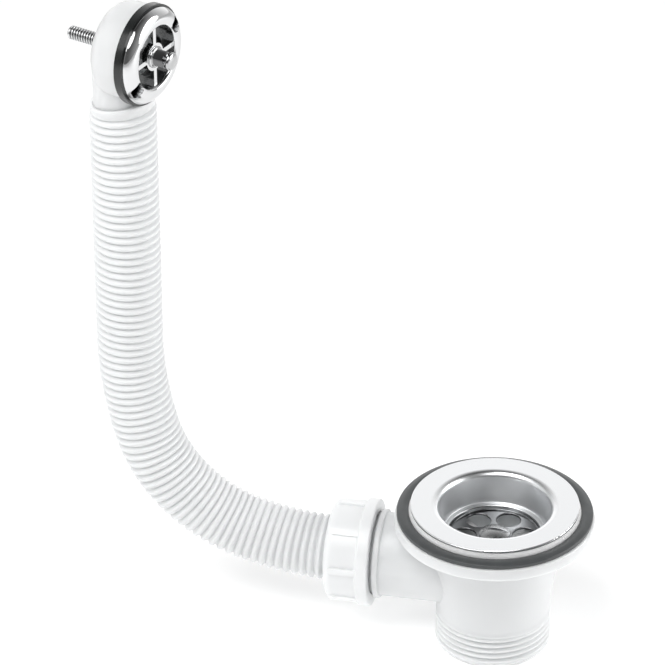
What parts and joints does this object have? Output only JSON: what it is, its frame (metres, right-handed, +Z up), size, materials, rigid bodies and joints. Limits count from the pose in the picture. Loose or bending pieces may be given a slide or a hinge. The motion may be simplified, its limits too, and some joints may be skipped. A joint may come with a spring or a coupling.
{
  "type": "basin waste and overflow",
  "caption": "White plastic basin waste with a steel strainer flange, joined by a bent convoluted hose to an overflow head with a chrome face and a chain post.",
  "frame": {"origin": "on the waste's axis, in the plane between the two washers where the basin's floor is clamped", "axes": "+Z up through the plug hole, -X along the overflow branch, hose in the XZ plane"},
  "size_m": [0.1906, 0.0724, 0.2483],
  "materials": {
    "pressed_steel": "polished flange, satin bowl",
    "screw_steel": "satin",
    "brass_bush": "machined",
    "white_washer": "matt",
    "dark_rubber": "matt",
    "white_plastic": "satin moulded",
    "hose_plastic": "satin moulded",
    "chrome_plate": "bright plated"
  },
  "bodies": {
    "root": {"strainer_flange": "pressed_steel", "waste_screw": "screw_steel", "waste_insert": "brass_bush", "upper_washer": "white_washer", "lower_washer": "dark_rubber", "waste_body": "white_plastic", "hose_nut": "white_plastic", "hose_seal": "dark_rubber", "overflow_hose": "hose_plastic", "overflow_elbow": "white_plastic", "overflow_insert": "brass_bush", "overflow_washer": "dark_rubber", "overflow_face": "chrome_plate", "overflow_bolt": "chrome_plate"}
  },
  "joints": []
}
